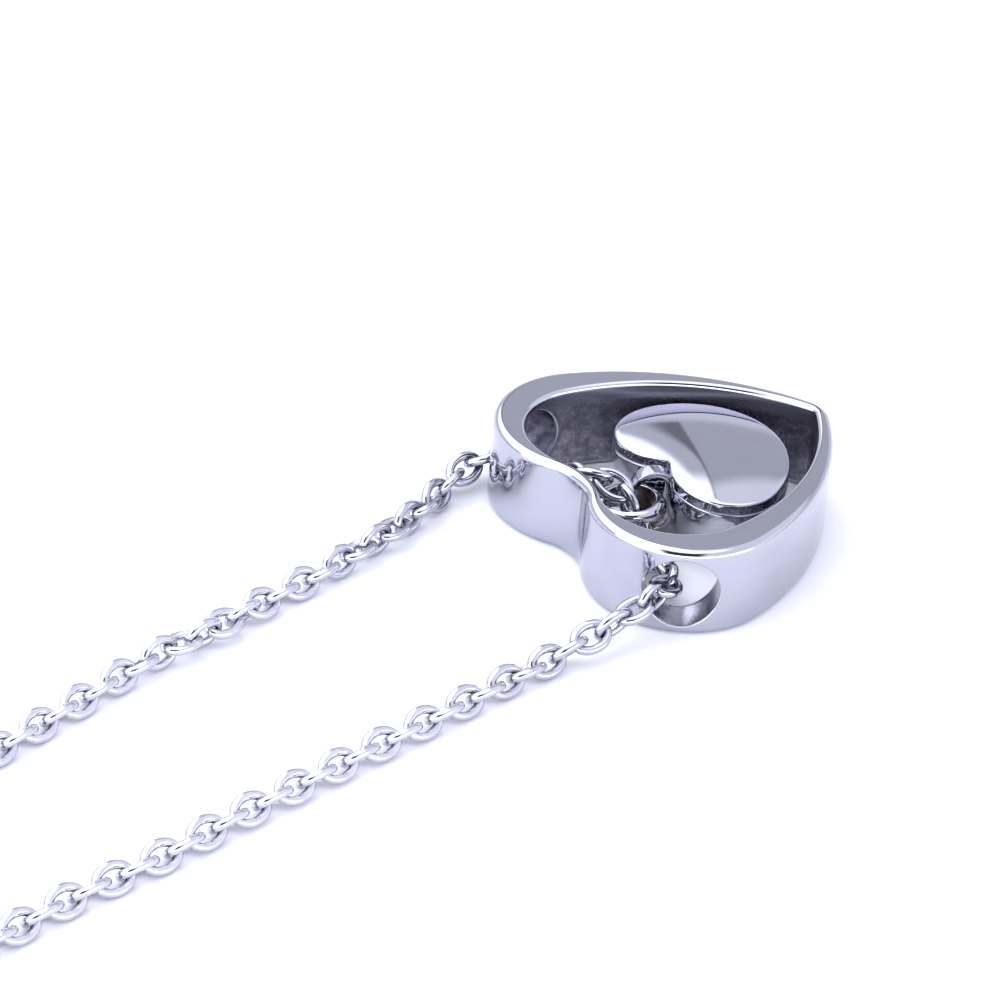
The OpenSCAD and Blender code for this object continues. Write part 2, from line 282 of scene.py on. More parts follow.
class Skin:  # vertices, faces and the material of each face
    def __init__(self):
        self.vertices = []
        self.faces = []
        self.slots = []

    def grid(self, rows, slot, skip=None, closed=False):
        first = len(self.vertices)
        wide = len(rows[0])
        for row in rows:
            self.vertices += [Vector(p) for p in row]
        for i in range(len(rows) - 1):
            for j in range(wide if closed else wide - 1):
                if skip and skip(i, j):
                    continue
                k = (j + 1) % wide
                self.faces.append((first + i * wide + j, first + i * wide + k,
                                   first + (i + 1) * wide + k, first + (i + 1) * wide + j))
                self.slots.append(slot)

    def mirrored(self):
        count = len(self.vertices)
        self.vertices += [Vector((v.x, -v.y, v.z)) for v in self.vertices]
        self.faces += [tuple(count + i for i in reversed(f)) for f in self.faces]
        self.slots += self.slots

    def piece(self, name, materials, move):
        points = [move @ (v * mm) for v in self.vertices]
        return meshPiece(name, points, self.faces, materials, self.slots)


def quarterTurn(radius, steps):  # (inset, rise) of a quarter round from the wall to the flat
    return [(radius * (1 - math.cos(a)), radius * (1 - math.sin(a)))
            for a in (math.pi / 2 * k / steps for k in range(steps + 1))]


def wallLevels(height, edge, steps, wallSteps, inwards):
    side = 1 if inwards else -1
    flat = side * (edge + band["rimStrip"])
    low = [(flat, 0)] + [(side * inset, rise) for inset, rise in reversed(quarterTurn(edge, steps))]
    wall = [(0, z) for z in between(edge, height - edge, wallSteps)[1:-1]]
    high = [(side * inset, height - rise) for inset, rise in quarterTurn(edge, steps)] + [(flat, height)]
    return low, wall, high


def buildBand(polished, cast, bored):
    steps = band["steps"]
    skin = Skin()
    holeMid = (0, band["outline"]["spread"])
    axis = Vector(polar((0, 0), 1, band["holeTurn"])).to_3d()
    across = Vector((-axis.y, axis.x, 0))
    midZ = band["height"] / 2
    rims, mouths = {}, {}
    angles = None
    for name, shape, shift, edge, inwards in (("out", band["outline"], 0, band["edge"], True),
                                              ("bore", band["bore"], band["boreShift"], band["boreEdge"], False)):
        arcs = heartArcs(shape, 0)
        lobe = (arcs["lobe"][0][0] + shift, arcs["lobe"][0][1])
        radius, lobeFrom, lobeTo = arcs["lobe"][1:]
        # the turn about this lobe at which the hole's axis leaves the wall
        gap = Vector((holeMid[0] - lobe[0], holeMid[1] - lobe[1], 0))
        reach = -gap.dot(axis) + math.sqrt(gap.dot(axis) ** 2 - gap.length_squared + radius ** 2)
        leaves = gap + axis * reach
        turn = math.degrees(math.atan2(leaves.y, leaves.x))
        start, end = turn - band["holeReach"], turn + band["holeReach"]
        turns = {part: between(*arcs[part][2:], steps[part]) for part in ("tip", "side", "notch")}
        before = between(lobeFrom, start, max(2, int((start - lobeFrom) / band["lobeStep"])))
        after = between(end, lobeTo, max(2, int((lobeTo - end) / band["lobeStep"])))
        turns["lobe"] = before[:-1] + between(start, end, steps["patch"]) + after[1:]
        low, wall, high = wallLevels(band["height"], edge, steps["edge"], steps["wall"], inwards)
        rows = [[(x + shift, y, z) for x, y in halfHeart(shape, inset, turns)] for inset, z in low + wall + high]
        lowRow, highRow = len(low) - 1, len(low) + len(wall)
        firstColumn = steps["tip"] + steps["side"] + len(before) - 1
        lastColumn = firstColumn + steps["patch"]
        slot = 0 if name == "out" else 1
        skin.grid(rows[:lowRow + 1], 0)
        skin.grid(rows[lowRow:highRow + 1], slot, skip=lambda i, j: firstColumn <= j < lastColumn)
        skin.grid(rows[highRow:], 0)
        rims[name] = (rows[0], rows[-1])

        # the wall around the hole: rings from the hole's mouth out to the rectangle's border
        ring = [(lowRow, j) for j in range(firstColumn, lastColumn)]
        ring += [(i, lastColumn) for i in range(lowRow, highRow)]
        ring += [(highRow, j) for j in range(lastColumn, firstColumn, -1)]
        ring += [(i, firstColumn) for i in range(highRow, lowRow, -1)]
        border = []
        for i, j in ring:
            x, y, z = rows[i][j]
            a = math.atan2(y - lobe[1], x - lobe[0]) - math.radians(turn)
            border.append((radius * a, z - midZ))
        if angles is None:  # both walls take the turns of the outer one
            angles = [math.atan2(z, s) for s, z in border]

        def mouth(size):  # points of the wall where a hole of this radius leaves it, as (arc, height)
            points = []
            for a in angles:
                wide = size * math.cos(a)
                foot = gap + across * wide
                go = -foot.dot(axis) + math.sqrt(foot.dot(axis) ** 2 - foot.length_squared + radius ** 2)
                at = foot + axis * go
                around = math.atan2(at.y, at.x) - math.radians(turn)
                points.append((radius * around, size * math.sin(a)))
            return points

        def onWall(s, z):
            a = math.radians(turn) + s / radius
            return (lobe[0] + radius * math.cos(a), lobe[1] + radius * math.sin(a), midZ + z)

        lip = mouth(band["holeRadius"] + band["holeEdge"])
        rings = []
        for t in band["ringShares"]:
            rings.append([onWall(l[0] + (b[0] - l[0]) * t, l[1] + (b[1] - l[1]) * t)
                          for l, b in zip(lip, border)])
        skin.grid(rings, slot, closed=True)
        # the rounded edge of the hole turns from the wall into the bore
        inner = mouth(band["holeRadius"])
        side = -1 if name == "out" else 1
        rounded = []
        for k in range(steps["lip"] + 1):
            a = math.pi / 2 * k / steps["lip"]
            t = math.sin(a)
            row = []
            for l, m in zip(lip, inner):
                p = Vector(onWall(l[0] + (m[0] - l[0]) * t, l[1] + (m[1] - l[1]) * t))
                row.append(p + axis * side * band["holeEdge"] * (1 - math.cos(a)))
            rounded.append(row)
        skin.grid(rounded, 0, closed=True)
        mouths[name] = rounded[-1]

    # the bore of the hole joins the two mouths
    tube = [[a + (b - a) * t for a, b in zip(mouths["out"], mouths["bore"])] for t in between(0, 1, steps["tube"])]
    skin.grid(tube, 2, closed=True)
    for outer, bore in zip(rims["out"], rims["bore"]):
        fillRim(skin, outer, bore, 0)
    skin.mirrored()
    piece = skin.piece("outerHeart", [polished, cast, bored], Matrix.Translation(setDown))
    return settle(piece, sharp=band["sharp"])


def fillRim(skin, outer, bore, slot):  # joins two rows of points of different counts by the shorter diagonal
    first, second = len(skin.vertices), len(skin.vertices) + len(outer)
    skin.vertices += [Vector(p) for p in (*outer, *bore)]
    i, j = 0, 0
    while i < len(outer) - 1 or j < len(bore) - 1:
        a, b = first + i, second + j
        stepA = (skin.vertices[a + 1] - skin.vertices[b]).length if i < len(outer) - 1 else math.inf
        stepB = (skin.vertices[a] - skin.vertices[b + 1]).length if j < len(bore) - 1 else math.inf
        if stepA <= stepB:
            skin.faces.append((a, a + 1, b))
            i += 1
        else:
            skin.faces.append((a, b + 1, b))
            j += 1
        skin.slots.append(slot)


# Urn: domed face, upright edge with a seam, round underside, and the soldered strap loop

urn = {
    "place": (4.9, 0.5),
    "turn": 5.0,
    "outline": {"spread": 2.6, "lobe": 3.45, "side": 6.4, "sideTurn": 70.0, "notch": 0.57, "tip": 0.6},
    "height": 5.1,
    "domeRadius": 26.0,
    "domeMid": 1.3,
    "edge": 0.16,
    "edgeStrip": 1.6,  # the upright strip begins this many edge radii below the face
    "seamDrop": 0.75,  # the seam's groove below the face's edge
    "seamDepth": 0.05,
    "seamWidth": 0.09,
    "underHeight": 3.6,
    "underSize": 0.66,
    "underGap": 1.1,  # least height between the round underside and the face
    "boreRadius": 1.6,
    "boreDepth": 1.4,
    "sharp": 50,
    "steps": {"tip": 10, "side": 34, "lobe": 64, "notch": 14, "dome": 26, "under": 22, "edge": 6},
}
strap = {"mid": (-3.45, 2.35), "turn": -30.0, "radius": 1.35, "tall": 4.3, "wall": 0.36, "wide": 1.0, "edge": 0.08,
         "bendSteps": 32, "edgeSteps": 4}
screw = {"radius": 1.5, "low": 0.1, "length": 1.8, "slotWide": 0.5, "slotDeep": 0.5, "edge": 0.12,
         "segments": 96, "edgeSteps": 4, "sharp": 40}
axisGap = 0.001  # a profile that is turned round an axis ends just beside it

urnMove = (Matrix.Translation(setDown + Vector((*urn["place"], 0)) * mm)
           @ Matrix.Rotation(math.radians(urn["turn"]), 4, "Z"))


def buildUrn(polished, bored):
    steps = urn["steps"]
    arcs = heartArcs(urn["outline"], 0)
    turns = {name: between(*arcs[name][2:], steps[name]) for name in arcs}
    edge = halfHeart(urn["outline"], 0, turns)
    middle = urn["domeMid"]

    def scaled(f):
        return [(middle + (x - middle) * f, y * f) for x, y in edge]

    def domeZ(x, y):
        r = urn["domeRadius"]
        return urn["height"] - r + math.sqrt(r * r - (x - middle) ** 2 - y * y)

    def offset(inset):  # the outline moved inwards by a small depth
        return halfHeart(urn["outline"], inset, turns)

    skin = Skin()
    rows = []
    for k in range(steps["under"]):
        a = math.pi / 2 * k / steps["under"]
        f = urn["underSize"] + (1 - urn["underSize"]) * math.sin(a)
        z = urn["underHeight"] * (1 - math.cos(a))
        rows.append([(x, y, min(z, domeZ(x, y) - urn["underGap"])) for x, y in scaled(f)])
    rimZ = [domeZ(x, y) for x, y in edge]
    half = urn["seamWidth"] / 2
    for drop, inset in ((urn["seamDrop"] + 3 * half, 0), (urn["seamDrop"] + half, 0),
                        (urn["seamDrop"], urn["seamDepth"]), (urn["seamDrop"] - half, 0),
                        (urn["seamDrop"] - 3 * half, 0), (urn["edge"] * urn["edgeStrip"], 0)):
        rows.append([(x, y, z - drop) for (x, y), z in zip(offset(inset), rimZ)])
    for inset, drop in quarterTurn(urn["edge"], steps["edge"]):
        rows.append([(x, y, domeZ(x, y) - drop) for x, y in offset(inset)])
    last = offset(urn["edge"])
    for k in range(1, steps["dome"]):
        f = 1 - (k / steps["dome"])
        ring = [(middle + (x - middle) * f, y * f) for x, y in last]
        rows.append([(x, y, domeZ(x, y)) for x, y in ring])
    rows.append([(middle, 0, urn["height"])] * len(edge))
    skin.grid(rows, 0)
    # flat underside with the mouth of the fill bore, and the bore up to the hollow
    bore, deep = urn["boreRadius"], urn["boreDepth"]
    foot = rows[0]
    mouth = []
    for x, y, z in foot:
        a = math.atan2(y, x - middle)
        mouth.append((middle + bore * math.cos(a), bore * math.sin(a), 0))
    ceiling = [(x, y, deep) for x, y, z in mouth]
    skin.grid([mouth, foot], 0)
    skin.grid([ceiling, mouth], 1)
    skin.grid([[(middle, 0, deep)] * len(mouth), ceiling], 1)
    skin.mirrored()
    return settle(skin.piece("urnBody", [polished, bored], urnMove), sharp=urn["sharp"])


def buildStrap(plain, inside):  # a flat strap bent to an oval ring, standing in the notch
    straight = strap["tall"] - 2 * strap["radius"]
    radius = strap["radius"] - strap["wall"] / 2
    path = []
    for side in (0, 1):
        middle = straight / 2 if side == 0 else -straight / 2
        for k in range(strap["bendSteps"] + 1):
            a = math.pi * (side + k / strap["bendSteps"])
            path.append((radius * math.cos(a), middle + radius * math.sin(a), math.cos(a), math.sin(a)))
    section = roundedRect(strap["wall"], strap["wide"], strap["edge"], strap["edgeSteps"])
    rows = [[(px + nx * s, t, pz + nz * s) for s, t in section] for px, pz, nx, nz in path + path[:1]]
    skin = Skin()
    skin.grid(rows, 0, closed=True)
    # the strap's inner faces take the painted brown reflection
    inner = [s < -strap["wall"] / 2 + 0.01 and t < section[k - 1][1] for k, (s, t) in enumerate(section)]
    skin.slots = [int(inner[(k + 1) % len(section)]) for k in range(len(section))] * (len(rows) - 1)
    move = (urnMove @ Matrix.Translation(Vector((strap["mid"][0], 0, strap["mid"][1])) * mm)
            @ Matrix.Rotation(math.radians(strap["turn"]), 4, "Z"))
    return settle(skin.piece("urnLoop", [plain, inside], move))


def roundedRect(wide, tall, corner, steps):
    points = []
    for sx, sy, start in ((1, 1, 0), (-1, 1, 90), (-1, -1, 180), (1, -1, 270)):
        middle = (sx * (wide / 2 - corner), sy * (tall / 2 - corner))
        points += [polar(middle, corner, start + 90 * k / steps) for k in range(steps + 1)]
    return points


def lathe(profile, segments):  # rows of points round Z for (radius, height) pairs
    turns = [2 * math.pi * k / segments for k in range(segments)]
    return [[(r * math.cos(a), r * math.sin(a), z) for a in turns] for r, z in profile]


def buildScrew(turned):
    r, edge = screw["radius"], screw["edge"]
    low, high = screw["low"], screw["low"] + screw["length"]
    rounded = quarterTurn(edge, screw["edgeSteps"])
    profile = [(axisGap, high), (r - edge, high)]
    profile += [(r - inset, high - drop) for inset, drop in reversed(rounded)]
    profile += [(r - inset, low + drop) for inset, drop in rounded] + [(r - edge, low), (axisGap, low)]
    skin = Skin()
    skin.grid(lathe(profile, screw["segments"]), 0, closed=True)
    move = urnMove @ Matrix.Translation(Vector((urn["domeMid"], 0, 0)) * mm)
    piece = settle(skin.piece("fillScrew", [turned], move))
    cutter = Skin()
    x, w, under, d = 2 * r, screw["slotWide"] / 2, -1, low + screw["slotDeep"]
    cutter.grid([[(-x, y, z), (x, y, z)] for y, z in ((-w, under), (-w, d), (w, d), (w, under), (-w, under))], 0)
    cutter.faces += [(0, 2, 4, 6), (1, 7, 5, 3)]
    cutter.slots += [0, 0]
    knife = settle(cutter.piece("slotKnife", [], move))
    carve = piece.modifiers.new("slot", "BOOLEAN")
    carve.object = knife
    carve.operation = "DIFFERENCE"
    piece = baked(piece, knife)
    piece.data.set_sharp_from_angle(angle=math.radians(screw["sharp"]))
    return piece


def baked(piece, *spent):  # the modifiers' result as a plain mesh
    graph = bpy.context.evaluated_depsgraph_get()
    mesh = bpy.data.meshes.new_from_object(piece.evaluated_get(graph))
    piece.modifiers.clear()
    piece.data = mesh
    for other in spent:
        bpy.data.objects.remove(other)
    return piece


# Bail: a short ring lying down, deeper and thicker on one side

bail = {
    "place": (-0.3, 0, 2.75),
    "turn": -36.0,
    "tilt": 5.0,
    "inner": 1.55,
    "top": 0.3,
    "shallow": 0.6,
    "deep": 1.75,
    "thin": 0.4,
    "thick": 0.75,
    "deepTurn": 66.0,
    "edge": 0.06,
    "segments": 120,
    "edgeSteps": 4,
    "bulgeSteps": 20,
}


def buildBail(polished, inside):
    inner, edge, top = bail["inner"], bail["edge"], bail["top"]
    rounded = quarterTurn(edge, bail["edgeSteps"])
    columns = []
    for a in between(0, 2 * math.pi, bail["segments"])[:-1]:
        share = (1 + math.cos(a - math.radians(bail["deepTurn"]))) / 2
        half = (bail["shallow"] + (bail["deep"] - bail["shallow"]) * share) / 2
        thick = bail["thin"] + (bail["thick"] - bail["thin"]) * share
        profile = [(inner + inset, top - 2 * half + drop) for inset, drop in rounded]
        for turn in between(-90, 90, bail["bulgeSteps"])[1:-1]:
            across, up = polar((0, 0), 1, turn)
            profile.append((inner + edge + (thick - edge) * across, top - half + half * up))
        profile += [(inner + inset, top - drop) for inset, drop in reversed(rounded)]
        columns.append([(r * math.cos(a), r * math.sin(a), z) for r, z in profile])
    rows = [[column[i] for column in columns] for i in range(len(columns[0]))]
    skin = Skin()
    skin.grid(rows, 0, closed=True)
    # the bail's inner face takes the painted brown reflection
    skin.grid([rows[-1], rows[0]], 1, closed=True)
    move = (Matrix.Translation(setDown + Vector(bail["place"]) * mm)
            @ Matrix.Rotation(math.radians(bail["turn"]), 4, "Z")
            @ Matrix.Rotation(math.radians(-bail["tilt"]), 4, "Y"))
    return settle(skin.piece("bailRing", [polished, inside], move))


# Clasp: round barrel with a rounded waist line and a flat eye at each end

clasp = {
    "place": (-211, -46, 1.6),
    "turn": 100.0,
    "radius": 1.6,
    "length": 8.0,
    "edge": 0.35,
    "groove": 0.12,
    "waist": (0.5, 0.16, 0.04),  # half lengths of the plain strip, of the groove's mouth and of its floor
    "eye": 1.05,
    "eyeHole": 0.7,
    "eyeShift": 0.1,  # the hole lies this far out of the eye's middle
    "eyeThick": 0.4,
    "eyeOut": 4.8,
    "stemIn": 0.5,  # how far an eye's stem runs into the barrel
    "segments": 64,
    "edgeSteps": 6,
    "eyeSteps": 48,
    "sharp": 40,
}


def buildClasp(polished):
    r, half, dip = clasp["radius"], clasp["length"] / 2, clasp["radius"] - clasp["groove"]
    plain, mouth, floor = clasp["waist"]
    rounded = quarterTurn(clasp["edge"], clasp["edgeSteps"])
    profile = [(axisGap, -half)] + [(r - drop, -half + inset) for inset, drop in rounded]
    profile += [(r, -plain), (r, -mouth), (dip, -floor), (dip, floor), (r, mouth), (r, plain)]
    profile += [(r - drop, half - inset) for inset, drop in reversed(rounded)] + [(axisGap, half)]
    move = (Matrix.Translation(setDown + Vector(clasp["place"]) * mm)
            @ Matrix.Rotation(math.radians(clasp["turn"]), 4, "Z"))
    barrel = Skin()
    barrel.grid([[(z, x, y) for x, y, z in row] for row in lathe(profile, clasp["segments"])], 0, closed=True)
    # an eye is a flat washer whose stem runs into the barrel
    thick, holeMid = clasp["eyeThick"] / 2, clasp["eyeOut"] + clasp["eyeShift"]
    stem = half - clasp["stemIn"] - clasp["eyeOut"]
    for side in (-1, 1):
        outer, hole = [], []
        for k in range(clasp["eyeSteps"]):
            turn = 360 * (k + 0.5) / clasp["eyeSteps"]
            x, y = polar((0, 0), clasp["eye"], turn)
            if x < 0:
                x, y = stem, clasp["eye"] * max(-1, min(1, -y / x))
            outer.append((side * (clasp["eyeOut"] + x), y))
            x, y = polar((holeMid, 0), clasp["eyeHole"], turn)
            hole.append((side * x, y))
        rows = [[(x, y, -thick) for x, y in hole], [(x, y, -thick) for x, y in outer],
                [(x, y, thick) for x, y in outer], [(x, y, thick) for x, y in hole]]
        barrel.grid(rows + rows[:1], 0, closed=True)
    return settle(barrel.piece("claspBarrel", [polished], move), sharp=clasp["sharp"])


# Chain: one Geometry Nodes tree sets a link on every seat of a route

chain = {
    "pitch": 1.64,
    "length": 2.83,
    "width": 2.04,
    "wire": 0.56,
    "wireSides": 10,
    "ovalSides": 36,
    "backWireSides": 6,
    "backOvalSides": 16,
    "curveSteps": 10,
    "merge": 0.0005,
}

# Middle line of the linked chain: x, y, z and the roll of the links, as in the solids
linkRoute = [
    (-51.7, -4.9, 0.8, 45), (-44.3, -2.7, 0.8, 45), (-38.3, -0.8, 0.8, 45), (-35.1, 0.2, 0.9, 35),
    (-31.7, 1.2, 1.0, 15), (-28.9, 1.6, 1.0, -10), (-25.7, 2.5, 1.0, -30), (-22.6, 3.4, 0.8, -45),
    (-19.5, 4.1, 0.9, -55), (-16.2, 5.1, 1.0, -75), (-12.9, 6.2, 1.0, -90), (-10.2, 7.4, 1.0, -55),
    (-8.9, 8.1, 0.9, -65), (-6.6, 9.3, 1.1, -25), (-5.9, 9.8, 1.2, -25), (-4.5, 9.6, 1.6, -60),
    (-2.9, 8.9, 1.8, -65), (-2.2, 6.9, 1.6, -45), (-2.6, 6.4, 1.4, -95), (-2.4, 5.3, 1.8, -55),
    (-2.7, 4.3, 2.6, -75), (-2.4, 3.4, 3.4, 5), (-2.3, 2.7, 3.6, -40), (-1.9, 1.9, 4.0, -15),
    (-0.8, 1.0, 3.7, -50), (-0.6, 0.2, 3.3, -30), (-0.4, -0.7, 2.0, 5), (-0.7, -1.9, 1.2, 5),
    (-0.6, -3.0, 0.8, -55), (-1.1, -4.2, 1.2, 20), (-2.0, -6.2, 1.7, -65), (-3.1, -8.2, 2.5, -60),
    (-3.5, -8.4, 2.6, -115), (-3.7, -8.5, 2.6, -110), (-4.9, -9.0, 2.6, -85), (-7.8, -9.4, 1.9, -95),
    (-8.8, -9.4, 1.6, -50), (-10.5, -9.5, 1.3, -60), (-12.6, -9.7, 0.9, -35), (-15.9, -10.3, 0.9, -35),
    (-22.3, -11.6, 0.9, -40), (-28.8, -12.9, 0.9, -45), (-35.3, -14.2, 0.9, -45), (-41.7, -15.6, 0.8, -45),
    (-48.2, -16.7, 0.8, -45), (-57.1, -18.9, 0.8, -45),
]
backLeft = [
    (-56, -5.9, 0.8), (-75, -6, 0.8), (-100, 1, 0.8), (-125, 8, 0.8), (-150, 9, 0.8), (-175, 2, 0.8),
    (-195, -13, 0.8), (-207.5, -28.5, 1.0), (-212.0, -38.6, 1.5), (-211.9, -41.2, 1.6),
]
backRight = [
    (-78, -29, 0.8), (-100, -45, 0.8), (-122, -62, 0.8), (-148, -76, 0.8), (-175, -81, 0.8),
    (-195, -75, 0.8), (-206, -63.5, 1.0), (-209.8, -53.4, 1.5), (-210.1, -50.8, 1.6),
]


def smoothRoute(points):
    route = np.array(points, float)
    ends = np.vstack([2 * route[0] - route[1], route, 2 * route[-1] - route[-2]])
    line = []
    for p0, p1, p2, p3 in zip(ends, ends[1:], ends[2:], ends[3:]):
        for k in range(chain["curveSteps"]):
            t = k / chain["curveSteps"]
            line.append(0.5 * (2 * p1 + (p2 - p0) * t + (2 * p0 - 5 * p1 + 4 * p2 - p3) * t * t
                               + (3 * p1 - p0 - 3 * p2 + p3) * t ** 3))
    return np.array(line + [route[-1]])


def joints(points, pitch, fit=False):
    line = smoothRoute(points)
    run = np.concatenate([[0], np.cumsum(np.linalg.norm(np.diff(line[:, :3], axis=0), axis=1))])
    if fit:
        pitch = run[-1] / round(run[-1] / pitch)
    at = np.arange(int(run[-1] / pitch + 1e-6) + 1) * pitch
    return np.stack([np.interp(at, run, line[:, k]) for k in range(line.shape[1])], 1)


def linkSeats(points, pitch, first=0, fit=False):  # middle, direction and width direction of each link
    seats = []
    stops = joints(points, pitch, fit)
    for i in range(len(stops) - 1):
        a, b = Vector(stops[i][:3]), Vector(stops[i + 1][:3])
        along = (b - a).normalized()
        up = (Vector((0, 0, 1)) - along * along.z).normalized()
        side = up.cross(along)
        roll = math.radians((stops[i][3] + stops[i + 1][3]) / 2 + 90 * ((i + first) % 2))
        seats.append(((a + b) / 2, along, up * math.cos(roll) + side * math.sin(roll)))
    return seats


def linkTree(material):
    tree = bpy.data.node_groups.new("linksOnSeats", "GeometryNodeTree")
    face = tree.interface
    face.new_socket("Geometry", in_out="INPUT", socket_type="NodeSocketGeometry")
    for name, kind in (("Link Length", "Float"), ("Link Width", "Float"), ("Wire", "Float"),
                       ("Wire Sides", "Int"), ("Oval Sides", "Int")):
        face.new_socket(name, in_out="INPUT", socket_type="NodeSocket" + kind)
    face.new_socket("Geometry", in_out="OUTPUT", socket_type="NodeSocketGeometry")
    new, link = tree.nodes.new, tree.links.new
    given, result = new("NodeGroupInput"), new("NodeGroupOutput")

    def maths(operation, a, b):
        node = new("ShaderNodeMath")
        node.operation = operation
        for socket, value in zip(node.inputs, (a, b)):
            if isinstance(value, float):
                socket.default_value = value
            else:
                link(value, socket)
        return node.outputs[0]

    def vectorNamed(name):
        node = new("GeometryNodeInputNamedAttribute")
        node.data_type = "FLOAT_VECTOR"
        node.inputs["Name"].default_value = name
        return node.outputs[0]

    wire = given.outputs["Wire"]
    lineLength = maths("SUBTRACT", given.outputs["Link Length"], wire)
    lineWidth = maths("SUBTRACT", given.outputs["Link Width"], wire)
    circle = new("GeometryNodeCurvePrimitiveCircle")
    circle.inputs["Radius"].default_value = 0.5
    link(given.outputs["Oval Sides"], circle.inputs["Resolution"])
    size = new("ShaderNodeCombineXYZ")
    link(lineLength, size.inputs["X"])
    link(lineWidth, size.inputs["Y"])
    size.inputs["Z"].default_value = 1.0
    oval = new("GeometryNodeTransform")
    link(circle.outputs[0], oval.inputs["Geometry"])
    link(size.outputs[0], oval.inputs["Scale"])
    section = new("GeometryNodeCurvePrimitiveCircle")
    link(given.outputs["Wire Sides"], section.inputs["Resolution"])
    link(maths("MULTIPLY", wire, 0.5), section.inputs["Radius"])
    sweep = new("GeometryNodeCurveToMesh")
    link(oval.outputs[0], sweep.inputs["Curve"])
    link(section.outputs[0], sweep.inputs["Profile Curve"])
    smooth = new("GeometryNodeSetShadeSmooth")
    link(sweep.outputs[0], smooth.inputs["Geometry"])
    turn = new("FunctionNodeAxesToRotation")
    turn.primary_axis = "X"
    turn.secondary_axis = "Y"
    link(vectorNamed("along"), turn.inputs[0])
    link(vectorNamed("across"), turn.inputs[1])
    place = new("GeometryNodeInstanceOnPoints")
    link(given.outputs["Geometry"], place.inputs["Points"])
    link(smooth.outputs[0], place.inputs["Instance"])
    link(turn.outputs[0], place.inputs["Rotation"])
    real = new("GeometryNodeRealizeInstances")
    link(place.outputs[0], real.inputs["Geometry"])
    paint = new("GeometryNodeSetMaterial")
    paint.inputs["Material"].default_value = material
    link(real.outputs[0], paint.inputs["Geometry"])
    link(paint.outputs[0], result.inputs[0])
    return tree


def buildLinks(name, seats, tree, sizes):
    mesh = bpy.data.meshes.new(name)
    mesh.from_pydata([tuple(setDown + middle * mm) for middle, _, _ in seats], [], [])
    for attribute, column in (("along", 1), ("across", 2)):
        data = mesh.attributes.new(attribute, "FLOAT_VECTOR", "POINT").data
        data.foreach_set("vector", [c for seat in seats for c in seat[column]])
    piece = bpy.data.objects.new(name, mesh)
    scene.collection.objects.link(piece)
    grow = piece.modifiers.new("links", "NODES")
    grow.node_group = tree
    for item in tree.interface.items_tree:
        if item.in_out == "INPUT" and item.name in sizes:
            grow[item.identifier] = sizes[item.name]
    baked(piece)
    work = bmesh.new()
    work.from_mesh(piece.data)
    bmesh.ops.remove_doubles(work, verts=work.verts, dist=chain["merge"] * mm)
    bmesh.ops.recalc_face_normals(work, faces=work.faces)
    work.to_mesh(piece.data)
    work.free()
    print(name, len(seats), "links", len(piece.data.polygons), "faces")
    return piece


def buildChain(wireMaterial):
    tree = linkTree(wireMaterial)
    sizes = {"Link Length": chain["length"] * mm, "Link Width": chain["width"] * mm, "Wire": chain["wire"] * mm,
             "Wire Sides": chain["wireSides"], "Oval Sides": chain["ovalSides"]}
    seats = linkSeats(linkRoute, chain["pitch"])
    near = buildLinks("chainNear", seats, tree, sizes)
    sizes.update({"Wire Sides": chain["backWireSides"], "Oval Sides": chain["backOvalSides"]})
    stops = joints(linkRoute, chain["pitch"])
    left = [(*p[:3], stops[0][3]) for p in [tuple(stops[0])] + backLeft]
    right = [(*p[:3], stops[-1][3]) for p in [tuple(stops[-1])] + backRight]
    back = linkSeats(left, chain["pitch"], fit=True)
    back += linkSeats(right, chain["pitch"], first=len(seats) % 2, fit=True)
    return near, buildLinks("chainFar", back, tree, sizes)


# Floor, light and camera

shot = {
    "target": (-4.59, 7.15, 0),  # on the floor, at the middle of the picture
    "distance": 297.0,
    "look": 53.708,  # direction of view on the floor, from +X
    "elevation": 31.944,
    "roll": 5.166,
    "focal": 176.05,
    "sensor": 36.0,
    "clip": (0.01, 20.0),
}
lookFlat = Vector(polar((0, 0), 1, shot["look"])).to_3d()
rightFlat = Vector(polar((0, 0), 1, shot["look"] - 90)).to_3d()


def placeCamera():
    up = math.radians(shot["elevation"])
    roll = math.radians(shot["roll"])
    forward = lookFlat * math.cos(up) - Vector((0, 0, math.sin(up)))
    high = lookFlat * math.sin(up) + Vector((0, 0, math.cos(up)))
    right = rightFlat * math.cos(roll) + high * math.sin(roll)
    top = high * math.cos(roll) - rightFlat * math.sin(roll)
    data = bpy.data.cameras.new("photoCamera")
    data.lens = shot["focal"]
    data.sensor_width = shot["sensor"]
    data.clip_start, data.clip_end = shot["clip"]
    camera = bpy.data.objects.new("photoCamera", data)
    scene.collection.objects.link(camera)
    spot = setDown + Vector(shot["target"]) * mm - forward * shot["distance"] * mm
    turn = Matrix((right, top, -forward)).transposed()
    camera.matrix_world = Matrix.Translation(spot) @ turn.to_4x4()
    scene.camera = camera


